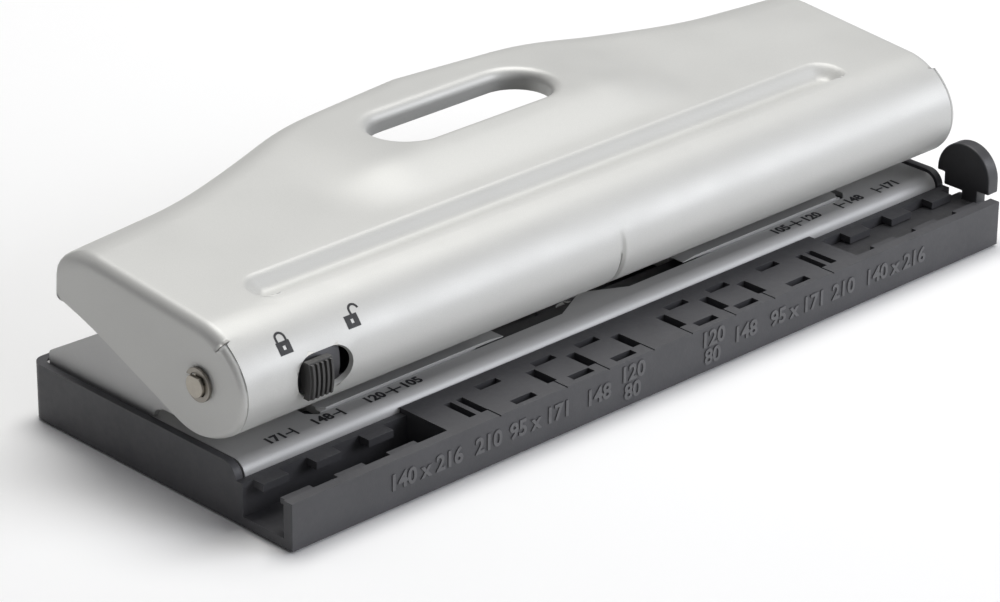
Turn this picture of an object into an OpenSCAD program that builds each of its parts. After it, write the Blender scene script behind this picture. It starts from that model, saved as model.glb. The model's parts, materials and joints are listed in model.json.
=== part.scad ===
// Adjustable six-hole punch for loose-leaf planner pages.
// X runs along the machine, +Y to the back, +Z up. The origin is the middle of the base,
// on the surface that its feet stand on.
// Inside the modules, Y is counted from the outer face of the front wall and Z from the
// underside of the base; the module on_base() puts those heights in the part's own frame.

/* [Base] */
// Length of the plastic base
base_l = 210; // [200:1:230]
// Depth of the plastic base
base_d = 80.4; // [78:0.2:90]
// Height of the side and back walls
side_h = 12.5; // [12.3:0.1:13]
// Height of the front wall and of the slotted middle panel
front_h = 10.3; // [9.8:0.1:11]
// Thickness of the side and back walls
wall_t = 1.8; // [1.4:0.1:1.9]
// Thickness of the front wall
front_t = 2.5; // [2:0.1:3]
// Thickness of the floor
floor_t = 2; // [1.6:0.1:2.4]
// Height that the feet stand out below the base
foot_h = 0.5; // [0.3:0.1:1]
// Half the length of the slotted middle panel
panel_half = 60; // [58:0.5:62]

/* [Deck] */
// Height of the steel deck's upper face
deck_top = 12.1; // [12:0.1:12.4]
// Thickness of the deck's sheet
sheet_t = 1.2; // [1:0.1:1.4]
// Distance from the middle to the outer face of an ear
ear_x = 102.6; // [102:0.1:102.7]
// Outer radius of the bend along the deck's front edge
lip_r = 3.2; // [2.5:0.1:3.4]

/* [Handle] */
// Distance of the hinge line behind the front wall
pivot_y = 26.3; // [26:0.1:27]
// Height of the hinge line
pivot_z = 26.6; // [26.4:0.1:27.5]
// Outer radius of the rolled front of the handle
roll_r = 12.6; // [12.4:0.1:12.8]
// Slope of the handle's top at rest, in degrees
top_slope = 5; // [4:0.5:6]
// How far the handle turns, in degrees
press_deg = 20; // [18:0.5:20]
// Distance from the middle to the outer face of an end wall
cheek_x = 105; // [104.6:0.1:105]
// Height of the level hand pad at its front, above the sloping top
pad_rise = 2.6; // [1.5:0.1:3]

/* [Punches] */
// Radius of a punch pin
pin_r = 3; // [2.6:0.05:3]
// Distance between neighbouring pins of one head
pin_pitch = 19; // [19:0.1:19.2]
// Distance of the middle pin of each head from the middle, at the widest setting
head_x = 54; // [53:0.1:54.2]
// Distance that a head slides inward to the narrowest setting
head_travel = 25.5; // [20:0.5:25.5]

/* [Guide] */
// Distance from the middle to the guide's face at the A5 setting
guide_x = 105; // [104.5:0.1:105.2]
// Thickness of the guide's half-moon plate
guide_t = 3.4; // [3:0.1:3.6]

/* [Hidden] */
$fn = 64;
eps = 0.01;

// Base: the trough that the guide slides in, and its inner wall
trough_back = 14.5;
inner_t = 1.9;
inner_h = 9.2;
inner_back = trough_back + inner_t;
panel_t = 1.6;
tab_x = [71.4, 85.2, 98.9];
tab_w = 6.6;
tab_t = 1.6;
boss_r = 4;
boss_z = 7;
boss_y = 31;
half_l = base_l / 2;
panel_left = -panel_half - 1.9;
screw_x = 92;
screw_y = [50, 72];
foot_y = [14, 68];

// Deck: one long opening with a narrow web in the middle
deck_under = deck_top - sheet_t;
deck_back = base_d - wall_t - 0.3;
open_front = 22.6;
open_back = 47.6;
open_x = 80;
web_half = 1;
ear_notch_y = 41.6;
ear_notch_r = 2.3;

// Rail under the deck's opening
rail_t = 1.2;
rail_slot_front = 27.4;
rail_slot_back = 45.6;
rail_x = 86;

// Hinge
shaft_r = 2.4;
clip_r = 3.6;
shaft_half = 106.8;
clip_x = 105.25;
clip_t = 0.7;
bore_gap = 0.06;

// Handle: the sheet's rear edge swells into the hand pad
rear_end = 70.6;
rear_taper = 0.1;
bulge = 8.1;
bulge_from = 26;
bulge_over = 55;
skirt_h = 8.2;
pad_foot_y = 40;
pad_top_y = 52;
pad_foot_half = 48;
pad_top_half = 34;
roll_end = 247;
roll_start = 90 + top_slope;
top_front = pivot_y - roll_r * tan(top_slope);
slot_y = 64;
slot_half = 24.3;
slot_r = 8.2;
flange_h = 5;
groove_y = 30.4;
groove_r = 4.75;
groove_left = -88;
groove_right = 83;
groove_depth = 2;

// Lock window in the roll, at the left
lock_x = -84;
lock_len = 14.2;
lock_w = 9;
lock_knob_x = -86.3;
lock_r = roll_r - sheet_t - 0.25;

// Punch heads
pin_y = 39.5;
head_outer = 23.3;
head_inner = 27.2;
cap_z = 12.15;
cap_top = 12.75;
stop_y = 46;
foot_back = 53;
rivet_x = 14;
rivet_y = 50;
die_z = 8.4;
bracket_half = 22.6;
guide_z = 14.6;
bush_r = 4;
bush_top = 16.9;
collar_r = 5.2;
collar_z = 22.7;
collar_t = 1;
top_flange_z = 23.8;
pin_top = 30.1;
pin_tip = 14.7;
bar_r = 2;
bar_z = 32.2;
bar_half = 82;
wing_x = 50;
wing_t = 1.2;
wire_r = 0.25;
coil_low_r = 4.85;
coil_high_r = 3.35;
coil_turns = 3;

module on_base() {
    translate([0, -base_d / 2, foot_h]) children();
}

// A plate with round ends, lying along X
module stadium(half, r) {
    square([2 * (half - r), 2 * r], center = true);
    for (s = [-1, 1]) translate([s * (half - r), 0]) circle(r);
}

// ---------- base ----------

module tray_outline(inset) {
    r = 3 - inset / 2;
    hull() {
        for (s = [-1, 1]) {
            translate([s * (half_l - inset - r), base_d - inset - r]) circle(r, $fn = 32);
            translate([s * (half_l - inset) - (s + 1) / 2, inset]) square(1);
        }
    }
}

// One side wall, its top following the bend of the deck's front edge
module side_wall(s) {
    bend_r = side_h - inner_h + 0.4;
    bend_y = inner_back + bend_r;
    x = s > 0 ? half_l - wall_t : -half_l;
    translate([x, 0, 0]) rotate([90, 0, 90]) linear_extrude(wall_t) {
        difference() {
            translate([trough_back, 0]) square([base_d - 3 - trough_back, side_h]);
            translate([trough_back - 1, inner_h]) square([bend_y - trough_back + 1, side_h]);
        }
        intersection() {
            translate([bend_y, side_h - bend_r]) circle(bend_r);
            translate([bend_y - bend_r, inner_h - 1]) square([bend_r, 6]);
        }
    }
}

module slots() {
    for (s = [-1, 1]) {
        for (x = [6.8, 19.8, 31.4]) translate([s * x, 7.1]) square([2.6, 6.6], center = true);
        for (x = [50.6, 53.8]) translate([s * x, 7.4]) square([1.9, 7.6], center = true);
        for (x = [13.3, 26, 41.7]) translate([s * x, 12]) square([6, 2], center = true);
        for (x = [12.3, 24.6, 40.9]) translate([s * x, 2.4]) square([6, 2], center = true);
    }
}

module guide_tabs() {
    for (s = [-1, 1], x = tab_x) {
        translate([s * x - tab_w / 2, trough_back - 3, inner_h - tab_t])
            cube([tab_w, 3.2, tab_t]);
        translate([s * (x + 0.4) - tab_w / 2 - 0.4, front_t - 0.2, inner_h - 1.4])
            cube([tab_w + 0.8, 3.4, 1.2]);
    }
}

module base_tray() {
    color([0.27, 0.27, 0.29]) on_base() {
        difference() {
            union() {
                linear_extrude(floor_t) tray_outline(0);
                translate([-half_l, 0, 0]) cube([base_l, front_t, front_h]);
                translate([-half_l, trough_back, 0]) cube([base_l, inner_t, inner_h]);
                side_wall(-1);
                side_wall(1);
                difference() {
                    linear_extrude(side_h) tray_outline(0);
                    translate([0, 0, -1]) linear_extrude(side_h + 2) tray_outline(wall_t);
                    translate([-half_l, -1, -1]) cube([base_l, base_d - 2.99, side_h + 2]);
                }
                translate([panel_left, 0, front_h - panel_t])
                    cube([panel_half - panel_left, inner_back, panel_t]);
                for (x = [panel_left, panel_half - 1.9])
                    translate([x, 0, 0]) cube([1.9, inner_back, front_h]);
                guide_tabs();
                for (y = [front_t + 0.8, trough_back - 2])
                    translate([panel_half - 14, y, 0]) cube([base_l / 2 - panel_half + 14, 1.2, 5.7]);
                translate([0, boss_y, 0]) cylinder(r = boss_r + 3, h = boss_z);
                for (s = [-1, 1], y = screw_y)
                    translate([s * screw_x, y, 0]) cylinder(r = boss_r, h = deck_under);
            }
            translate([0, 0, front_h - panel_t - 1]) linear_extrude(panel_t + 2) slots();
            // engraved lines from the slots to the front edge, one for each page size
            for (s = [-1, 1], x = [5.7, 18.9, 31, 49.7])
                translate([s * x - 0.2, -1, front_h - 0.3]) cube([0.4, 4.9, 1]);
            // way for the guide's tongue under the right end of the middle panel
            translate([panel_half - 3, front_t + 0.1, 5.7])
                cube([4, trough_back - front_t - 0.2, front_h - panel_t - 5.7]);
            // blind screw holes in the bosses and pockets for the feet
            translate([0, boss_y, 3]) cylinder(r = 1.25, h = boss_z);
            for (s = [-1, 1]) {
                for (y = screw_y)
                    translate([s * screw_x, y, 3]) cylinder(r = 1.25, h = deck_top);
                for (y = foot_y)
                    translate([s * screw_x, y, -1]) cylinder(r = 6, h = 1.6);
            }
            translate([0, base_d / 2, -1]) cylinder(r = 6, h = 1.6);
        }
    }
}

module rubber_feet() {
    color([0.1, 0.1, 0.1]) on_base() {
        for (s = [-1, 1], y = foot_y)
            translate([s * screw_x, y, -foot_h]) cylinder(r = 5.9, h = foot_h + 0.6);
        translate([0, base_d / 2, -foot_h]) cylinder(r = 5.9, h = foot_h + 0.6);
    }
}

// Pan-head screws: four through the deck into the corner bosses, one in the middle boss
module pan_screw(length) {
    translate([0, 0, -length]) cylinder(r = 1.2, h = length + 0.2);
    difference() {
        union() {
            cylinder(r = 2.6, h = 0.7);
            translate([0, 0, 0.7]) cylinder(r1 = 2.6, r2 = 1.6, h = 0.5, $fn = 64);
        }
        for (a = [0, 90])
            rotate(a) translate([-1.3, -0.25, 0.5]) cube([2.6, 0.5, 1]);
    }
}

module base_screws() {
    color([0.72, 0.72, 0.7]) on_base() {
        for (s = [-1, 1], y = screw_y) translate([s * screw_x, y, deck_top]) pan_screw(8);
        translate([0, boss_y, boss_z]) pan_screw(3.8);
    }
}

// ---------- deck ----------

// The deck's opening: its front corners by the middle web are long slants
module deck_opening(s) {
    mirror([s > 0 ? 0 : 1, 0]) {
        polygon([[web_half, 27.2], [10, open_front], [open_x - 2, open_front],
                 [open_x, open_front + 2], [open_x, open_back], [web_half, open_back]]);
    }
}

// Outline of an ear in the Y-Z plane
module ear_outline() {
    difference() {
        union() {
            hull() {
                translate([pivot_y, pivot_z]) circle(8.2, $fn = 32);
                translate([50, 29.6]) circle(1, $fn = 32);
                translate([44.5, deck_top]) square(1);
            }
            hull() {
                translate([44.5, deck_under]) square([1, 2]);
                translate([50, 29.6]) circle(1, $fn = 32);
                translate([75.7, 14.1]) circle(1.5, $fn = 32);
                translate([deck_back - 2.2, deck_under]) square([1, 1]);
            }
        }
        translate([ear_notch_y, deck_top]) circle(ear_notch_r);
        translate([ear_notch_y - ear_notch_r, deck_under - 1]) square([2 * ear_notch_r, 2.2]);
        square([ear_notch_y, deck_top + ear_notch_r + 0.4]);
    }
}

module deck_plate() {
    color([0.78, 0.78, 0.77]) on_base() {
        difference() {
            union() {
                translate([-ear_x, inner_back + lip_r + 0.1, deck_under])
                    cube([2 * ear_x, deck_back - inner_back - lip_r - 0.1, sheet_t]);
                // the front edge bends down through a right angle
                translate([-ear_x, inner_back + lip_r + 0.1, deck_top - lip_r])
                    rotate([90, 0, 90]) linear_extrude(2 * ear_x) intersection() {
                        difference() {
                            circle(lip_r);
                            circle(lip_r - sheet_t);
                        }
                        translate([-lip_r, 0]) square(lip_r);
                    }
                for (s = [-1, 1])
                    translate([s > 0 ? ear_x - sheet_t : -ear_x, 0, 0])
                        rotate([90, 0, 90]) linear_extrude(sheet_t) ear_outline();
            }
            translate([0, 0, deck_under - 1]) linear_extrude(sheet_t + 2) {
                deck_opening(-1);
                deck_opening(1);
            }
            for (s = [-1, 1], y = screw_y)
                translate([s * screw_x, y, deck_under - 1]) cylinder(r = 1.5, h = 3);
            translate([-ear_x - 1, pivot_y, pivot_z]) rotate([0, 90, 0])
                cylinder(r = shaft_r + 0.03, h = 2 * ear_x + 2);
        }
    }
}

module slide_rail() {
    color([0.6, 0.61, 0.62]) on_base() {
        translate([0, 0, deck_under - rail_t]) linear_extrude(rail_t) difference() {
            translate([-rail_x, inner_back + 3.4]) square([2 * rail_x, 34]);
            translate([-open_x - 1, rail_slot_front])
                square([2 * open_x + 2, rail_slot_back - rail_slot_front]);
        }
    }
}

// ---------- hinge ----------

module pivot_shaft() {
    color([0.74, 0.7, 0.6]) on_base() translate([0, pivot_y, pivot_z]) rotate([0, 90, 0])
        difference() {
            cylinder(r = shaft_r, h = 2 * shaft_half, center = true);
            for (s = [-1, 1]) {
                // groove for the clip, and the flat on each end
                translate([0, 0, s * (clip_x + clip_t / 2)]) difference() {
                    cylinder(r = shaft_r + 1, h = clip_t + 0.1, center = true);
                    cylinder(r = shaft_r - 0.7, h = 2, center = true);
                }
                translate([-shaft_r - 2.1, 0, s * (shaft_half - 0.1)])
                    cube([5, 8, 1.4], center = true);
            }
        }
}

// Retaining clip: an open ring with three inner lugs
module e_clip(s) {
    color([0.72, 0.66, 0.55]) on_base()
        translate([s > 0 ? clip_x : -clip_x - clip_t, pivot_y, pivot_z])
            rotate([90, 0, 90]) linear_extrude(clip_t) difference() {
                circle(clip_r);
                circle(shaft_r + 0.15);
                translate([1.2, -1.5]) square([4, 3]);
            }
    color([0.72, 0.66, 0.55]) on_base()
        translate([s > 0 ? clip_x : -clip_x - clip_t, pivot_y, pivot_z])
            rotate([90, 0, 90]) linear_extrude(clip_t)
                for (a = [100, 180, 260]) rotate(a) intersection() {
                    translate([shaft_r - 0.65, -0.8]) square([1.2, 1.6]);
                    circle(shaft_r + 0.4);
                }
}

module e_clip_left() {
    e_clip(-1);
}

module e_clip_right() {
    e_clip(1);
}

// ---------- handle ----------

function smooth(t) = let (c = min(max(t, 0), 1)) c * c * (3 - 2 * c);
// Distance of the handle's rear edge behind the front wall
function rear_y(x) = rear_end + rear_taper * (cheek_x - abs(x))
    + bulge * (1 - smooth((abs(x) - bulge_from) / bulge_over));
// Height of the sloping top above the hinge line
function top_z(y) = pivot_z + roll_r / cos(top_slope) + (y - pivot_y) * tan(top_slope);

// Puts a flat outline, drawn in plan, on the sloping top
module on_top() {
    translate([0, pivot_y, top_z(pivot_y)]) rotate([top_slope, 0, 0])
        translate([0, -pivot_y, 0]) children();
}

module rear_outline(inset, front) {
    n = 20;
    x_max = cheek_x - inset;
    polygon(concat(
        [[-x_max, front], [x_max, front]],
        [for (i = [0:2 * n]) let (x = x_max * (1 - i / n)) [x, rear_y(x) - inset]]));
}

// Section of the roll, from its lower edge up to the start of the sloping top
module roll_section() {
    intersection() {
        circle(roll_r);
        polygon([[0, 0],
                 for (i = [0:12]) let (a = roll_start + (roll_end - roll_start) * i / 12)
                     2 * roll_r * [cos(a), sin(a)]]);
    }
}

// An end wall: a disc round the hinge and a wing whose rear end is rounded
module cheek_outline() {
    translate([pivot_y, pivot_z]) circle(roll_r - 1.5);
    polygon([[pivot_y + 0.6, top_z(pivot_y) - 0.5], [rear_end - 11, top_z(rear_end) - 1.9],
             [rear_end - 7.5, top_z(rear_end) - 2.6], [rear_end - 4.5, top_z(rear_end) - 4],
             [rear_end - 2.2, top_z(rear_end) - 5.6], [rear_end - 0.8, top_z(rear_end) - 7.6],
             [rear_end - 0.3, top_z(rear_end) - 9.6], [rear_end - 0.5, top_z(rear_end) - 11.6],
             [rear_end - 1.6, top_z(rear_end) - 13], [rear_end - 3.4, top_z(rear_end) - 14],
             [rear_end - 8.3, top_z(rear_end) - 15.6], [48, 22.3], [37.5, 17.9], [33, 16.2],
             [pivot_y + 3, pivot_z - 11.3], [pivot_y, pivot_z - roll_r + 2]]);
}

module hand_pad(inset) {
    hull() {
        on_top() translate([0, 0, -sheet_t - 0.2 - inset]) linear_extrude(0.2) intersection() {
            rear_outline(2 + inset, pad_foot_y + inset);
            translate([inset - pad_foot_half, 0]) square([2 * (pad_foot_half - inset), base_d + 20]);
        }
        translate([0, 0, top_z(pad_top_y) + pad_rise - inset - 0.2]) linear_extrude(0.2)
            intersection() {
                rear_outline(6 + inset, pad_top_y + inset);
                translate([inset - pad_top_half, 0]) square([2 * (pad_top_half - inset), base_d + 20]);
            }
    }
}

module hand_slot(grow) {
    translate([0, slot_y, pivot_z]) linear_extrude(30) stadium(slot_half + grow, slot_r + grow);
}

module groove(grow) {
    translate([(groove_left + groove_right) / 2, groove_y])
        stadium((groove_right - groove_left) / 2 + grow, groove_r + grow);
}

module lock_window() {
    translate([lock_x, pivot_y - 5, pivot_z]) rotate([90, 0, 0]) linear_extrude(12)
        stadium(lock_len / 2, lock_w / 2);
}

module handle_shell() {
    color([0.82, 0.82, 0.8]) on_base() {
        difference() {
            union() {
                // rolled front
                translate([sheet_t - cheek_x, pivot_y, pivot_z]) rotate([90, 0, 90])
                    linear_extrude(2 * (cheek_x - sheet_t)) difference() {
                        roll_section();
                        circle(roll_r - sheet_t);
                    }
                // sloping top
                difference() {
                    on_top() translate([0, 0, -sheet_t]) linear_extrude(sheet_t)
                        rear_outline(0, top_front);
                    hand_pad(sheet_t);
                    on_top() translate([0, 0, -sheet_t - 1]) linear_extrude(4) groove(0);
                }
                // pressed groove
                on_top() {
                    translate([0, 0, -groove_depth - sheet_t]) linear_extrude(sheet_t) groove(sheet_t);
                    translate([0, 0, -groove_depth - eps]) linear_extrude(groove_depth - sheet_t + 0.1)
                        difference() {
                            groove(sheet_t);
                            groove(0);
                        }
                }
                // raised pad for the palm
                difference() {
                    hand_pad(0);
                    hand_pad(sheet_t);
                }
                // skirt round the rear edge
                on_top() translate([0, 0, -skirt_h]) linear_extrude(skirt_h - 0.6) intersection() {
                    difference() {
                        rear_outline(0, 60);
                        translate([0, -sheet_t]) rear_outline(0, 0);
                    }
                    square([2 * cheek_x - sheet_t, 3 * base_d], center = true);
                }
                for (s = [-1, 1])
                    translate([s > 0 ? cheek_x - sheet_t : -cheek_x, 0, 0])
                        rotate([90, 0, 90]) linear_extrude(sheet_t) cheek_outline();
                // flange round the hand slot
                intersection() {
                    difference() {
                        hand_slot(sheet_t);
                        hand_slot(0);
                    }
                    translate([0, slot_y, top_z(pad_top_y) + pad_rise - flange_h / 2 - 0.3])
                        cube([80, 30, flange_h], center = true);
                }
            }
            hand_slot(0);
            lock_window();
            translate([0, pivot_y, pivot_z]) rotate([0, 90, 0])
                cylinder(r = shaft_r + bore_gap, h = 2 * cheek_x + 2, center = true);
        }
    }
}

// Folded strip under the top, whose rounded edge presses on all six pins
module press_plate() {
    color([0.66, 0.67, 0.68]) on_base() difference() {
        union() {
            translate([-bar_half, pin_y, bar_z]) rotate([0, 90, 0]) cylinder(r = bar_r, h = 2 * bar_half);
            translate([-bar_half, pin_y - 0.8, bar_z]) cube([2 * bar_half, 1.6, 6.6]);
            for (x = [-bar_half, wing_x])
                on_top() translate([x, pin_y - 1, -sheet_t - wing_t])
                    cube([bar_half - wing_x, 10, wing_t - 0.02]);
        }
        on_top() wing_rivets(1.25, -5, 6);
    }
}

// Places for the rivets through the strip's two wings
module wing_rivets(r, z, h) {
    for (s = [-1, 1], x = [56, 76]) translate([s * x, pin_y + 5, z]) cylinder(r = r, h = h);
}

module press_plate_rivets() {
    color([0.7, 0.7, 0.7]) on_base() on_top() {
        wing_rivets(1.2, -sheet_t - wing_t - 0.1, wing_t + 0.08);
        wing_rivets(2.2, -sheet_t - wing_t - 0.8, 0.8);
    }
}

// ---------- lock ----------

// A band that follows the roll between two radii and two heights above the hinge line
module roll_band(r_in, r_out, low, high, length) {
    rotate([90, 0, 90]) linear_extrude(length, center = true) intersection() {
        difference() {
            circle(r_out);
            circle(r_in);
        }
        translate([-20, low]) square([20, high - low]);
    }
}

// Plate inside the roll that carries the knob; its tongue reaches over the catch
module lock_plate() {
    color([0.45, 0.45, 0.47]) on_base() translate([lock_knob_x, pivot_y, pivot_z]) {
        roll_band(lock_r - 1.2, lock_r, -8, 8.2, 15);
        translate([-10.8, 0, 0]) roll_band(lock_r - 1, lock_r, -1.6, 1.6, 7);
    }
}

module lock_knob() {
    color([0.22, 0.22, 0.23]) on_base() translate([lock_knob_x, pivot_y, pivot_z]) {
        roll_band(lock_r, roll_r + 0.5, -3, 3, 5.6);
        roll_band(roll_r + 0.25, roll_r + 1.7, -4.2, 3.8, 6.2);
        for (i = [-2:2])
            translate([i * 1.2, 0, 0]) roll_band(roll_r + 1.6, roll_r + 2.3, -3.9, 3.5, 0.6);
    }
}

// Leaf under the top of the roll that holds the lock where it is put
module lock_spring() {
    color([0.62, 0.6, 0.55]) on_base() translate([lock_x - 1, pivot_y, pivot_z])
        rotate([90, 0, 90]) linear_extrude(12, center = true) intersection() {
            difference() {
                circle(roll_r - sheet_t - 0.05);
                circle(roll_r - sheet_t - 0.6);
            }
            polygon([[0, 0], 30 * [cos(127), sin(127)], 30 * [cos(105), sin(105)]]);
        }
}

// Curved catch on the inner face of the left ear, just inside the path of the tongue
module lock_catch() {
    color([0.6, 0.61, 0.62]) on_base()
        translate([-ear_x + sheet_t, pivot_y, pivot_z]) rotate([90, 0, 90])
            linear_extrude(3.6) intersection() {
                difference() {
                    circle(lock_r - 1.4);
                    circle(lock_r - 3);
                }
                polygon([[0, 0], 30 * [cos(150), sin(150)], [-30, 0], 30 * [cos(200), sin(200)]]);
            }
}

// ---------- punch heads ----------

// The part of a head that fills the deck's opening, slanted to clear the middle web
module die_outline() {
    y0 = open_front + 0.3;
    y1 = open_back - 0.35;
    inner = 0.4 - head_inner;
    polygon([[head_outer, y0], [head_outer, y1], [inner, y1], [inner, 28], [inner + 8.6, y0]]);
}

// The cap that a page slides on; it runs back over the deck to carry the bracket
module cap_outline() {
    y0 = open_front + 0.3;
    polygon([[head_outer - 1.5, y0], [head_outer, y0 + 1.5], [head_outer, foot_back],
             [-head_inner, foot_back], [-head_inner, y0]]);
}

module die_plate(s) {
    color([0.74, 0.74, 0.73]) on_base() translate([s * head_x, 0, 0]) mirror([s > 0 ? 0 : 1, 0, 0])
        difference() {
            union() {
                translate([0, 0, cap_z]) linear_extrude(cap_top - cap_z) cap_outline();
                translate([0, 0, deck_under + 0.05]) linear_extrude(cap_z - deck_under) die_outline();
                translate([0.6 - head_inner, rail_slot_front + 0.3, die_z])
                    cube([head_outer + head_inner - 1.2, rail_slot_back - rail_slot_front - 0.6, 3]);
            }
            for (i = [-1:1]) translate([i * pin_pitch, pin_y, 0]) {
                cylinder(r = pin_r + 0.08, h = 20);
                translate([0, 0, die_z - 1]) cylinder(r = pin_r + 0.9, h = 3.2);
            }
            for (i = [-1, 1]) translate([i * rivet_x, rivet_y, cap_z - 1]) cylinder(r = 1.25, h = 3);
            // ramp at the inner end, so that a page rides over it
            translate([-head_inner, 0, cap_z + 0.15]) rotate([0, -7, 0]) translate([-6, 0, 0])
                cube([10, 60, 3]);
        }
}

// C-shaped bracket over the page gap: foot, stop for the page, lower guide and top flange
module bracket(s) {
    color([0.68, 0.69, 0.7]) on_base() translate([s * head_x - bracket_half, 0, 0]) difference() {
        union() {
            translate([0, 27.5, guide_z])
                cube([2 * bracket_half, stop_y - 27.5 + sheet_t, sheet_t]);
            translate([0, stop_y, cap_top])
                cube([2 * bracket_half, sheet_t, top_flange_z - cap_top]);
            translate([0, 33.6, top_flange_z])
                cube([2 * bracket_half, stop_y - 33.6 + sheet_t, sheet_t]);
            translate([0, stop_y, cap_top]) cube([2 * bracket_half, foot_back - stop_y, sheet_t]);
        }
        for (i = [-1:1]) translate([bracket_half + i * pin_pitch, pin_y, guide_z - 1]) {
            cylinder(r = bush_r + 0.02, h = 4);
            cylinder(r = pin_r + 0.12, h = 20);
        }
        for (i = [-1, 1]) translate([bracket_half + i * rivet_x, rivet_y, cap_top - 1])
            cylinder(r = 1.25, h = 3);
    }
}

module guide_bushes(s) {
    color([0.7, 0.62, 0.4]) on_base() for (i = [-1:1])
        translate([s * head_x + i * pin_pitch, pin_y, 0]) difference() {
            union() {
                translate([0, 0, guide_z]) cylinder(r = bush_r, h = bush_top - guide_z);
                translate([0, 0, guide_z + sheet_t]) cylinder(r = collar_r, h = 0.8);
            }
            cylinder(r = pin_r + 0.05, h = 40);
        }
}

module head_rivets(s) {
    color([0.7, 0.7, 0.7]) on_base() for (i = [-1, 1])
        translate([s * head_x + i * rivet_x, rivet_y, 0]) {
            translate([0, 0, cap_z]) cylinder(r = 1.2, h = cap_top + sheet_t - cap_z + 0.1);
            translate([0, 0, cap_top + sheet_t]) cylinder(r1 = 2.2, r2 = 1.3, h = 0.9, $fn = 64);
        }
}

function pin_x(i) = (i < 3 ? -head_x : head_x) + (i % 3 - 1) * pin_pitch;

module punch_pin(i) {
    color([0.8, 0.8, 0.82]) on_base() translate([pin_x(i), pin_y, 0]) {
        difference() {
            translate([0, 0, pin_tip]) cylinder(r = pin_r, h = pin_top - pin_tip - 0.8);
            // hollow-ground cutting end
            translate([0, 0, pin_tip - 0.01]) cylinder(r1 = 2.2, r2 = 0, h = 1.2, $fn = 64);
        }
        translate([0, 0, pin_top - 0.8]) cylinder(r1 = pin_r, r2 = pin_r - 0.8, h = 0.8, $fn = 64);
        translate([0, 0, collar_z]) cylinder(r = collar_r, h = collar_t);
    }
}

// Conical spring: a round wire swept along a helix, so that its turns nest at full press
module pin_spring(i) {
    z0 = guide_z + sheet_t + 0.8 + wire_r + 0.02;
    z1 = collar_z - wire_r - 0.02;
    seg = 20;
    sides = 6;
    rings = coil_turns * seg;
    pts = [for (k = [0:rings], j = [0:sides - 1])
        let (a = 360 * k / seg, b = 360 * j / sides,
             r = coil_low_r + (coil_high_r - coil_low_r) * k / rings + wire_r * cos(b))
        [r * cos(a), r * sin(a), z0 + (z1 - z0) * k / rings + wire_r * sin(b)]];
    tube = [for (k = [0:rings - 1], j = [0:sides - 1])
        [k * sides + j, k * sides + (j + 1) % sides,
         (k + 1) * sides + (j + 1) % sides, (k + 1) * sides + j]];
    ends = [[for (j = [sides - 1:-1:0]) j], [for (j = [0:sides - 1]) rings * sides + j]];
    color([0.65, 0.66, 0.68]) on_base() translate([pin_x(i), pin_y, 0])
        polyhedron(pts, concat(tube, ends), convexity = 8);
}

// ---------- paper guide ----------

module paper_guide() {
    moon_y = 10.8;
    moon_z = 13.3;
    moon_r = 7.5;
    tongue_z = 5.8;
    tongue_t = 1.6;
    tongue_in = 49.6;
    color([0.17, 0.17, 0.18]) on_base() {
        translate([guide_x, 0, 0]) rotate([90, 0, 90]) linear_extrude(guide_t) {
            difference() {
                union() {
                    translate([moon_y, moon_z]) circle(moon_r);
                    translate([moon_y - moon_r, 9.5]) square([2 * moon_r, moon_z - 9.5]);
                }
                square([30, 9.5]);
                square([6.7, 10.6]);
                translate([16.2, 0]) square([30, 12.5]);
            }
            translate([6.7, tongue_z]) square([4.3, 6]);
        }
        translate([tongue_in, front_t + 0.3, tongue_z])
            cube([guide_x + guide_t - tongue_in, trough_back - front_t - 0.6, tongue_t]);
        translate([tongue_in, 4.2, tongue_z]) cube([1.6, 6, 2.6]);
    }
}

module left_die_plate() {
    die_plate(-1);
}

module left_bracket() {
    bracket(-1);
}

module left_guide_bushes() {
    guide_bushes(-1);
}

module left_head_rivets() {
    head_rivets(-1);
}

module right_die_plate() {
    die_plate(1);
}

module right_bracket() {
    bracket(1);
}

module right_guide_bushes() {
    guide_bushes(1);
}

module right_head_rivets() {
    head_rivets(1);
}

module punch_pin_1() {
    punch_pin(0);
}

module punch_pin_2() {
    punch_pin(1);
}

module punch_pin_3() {
    punch_pin(2);
}

module punch_pin_4() {
    punch_pin(3);
}

module punch_pin_5() {
    punch_pin(4);
}

module punch_pin_6() {
    punch_pin(5);
}

module pin_spring_1() {
    pin_spring(0);
}

module pin_spring_2() {
    pin_spring(1);
}

module pin_spring_3() {
    pin_spring(2);
}

module pin_spring_4() {
    pin_spring(3);
}

module pin_spring_5() {
    pin_spring(4);
}

module pin_spring_6() {
    pin_spring(5);
}

base_tray();
deck_plate();
slide_rail();
rubber_feet();
base_screws();
pivot_shaft();
e_clip_left();
e_clip_right();
lock_catch();
handle_shell();
press_plate();
press_plate_rivets();
lock_spring();
lock_plate();
lock_knob();
left_die_plate();
left_bracket();
left_guide_bushes();
left_head_rivets();
right_die_plate();
right_bracket();
right_guide_bushes();
right_head_rivets();
punch_pin_1();
punch_pin_2();
punch_pin_3();
punch_pin_4();
punch_pin_5();
punch_pin_6();
pin_spring_1();
pin_spring_2();
pin_spring_3();
pin_spring_4();
pin_spring_5();
pin_spring_6();
paper_guide();
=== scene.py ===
"""Looks, light and camera of an adjustable six-hole punch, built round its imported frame."""

import json
import math

import bmesh
import bpy
from mathutils import Matrix, Vector
from mathutils.geometry import delaunay_2d_cdt


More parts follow.
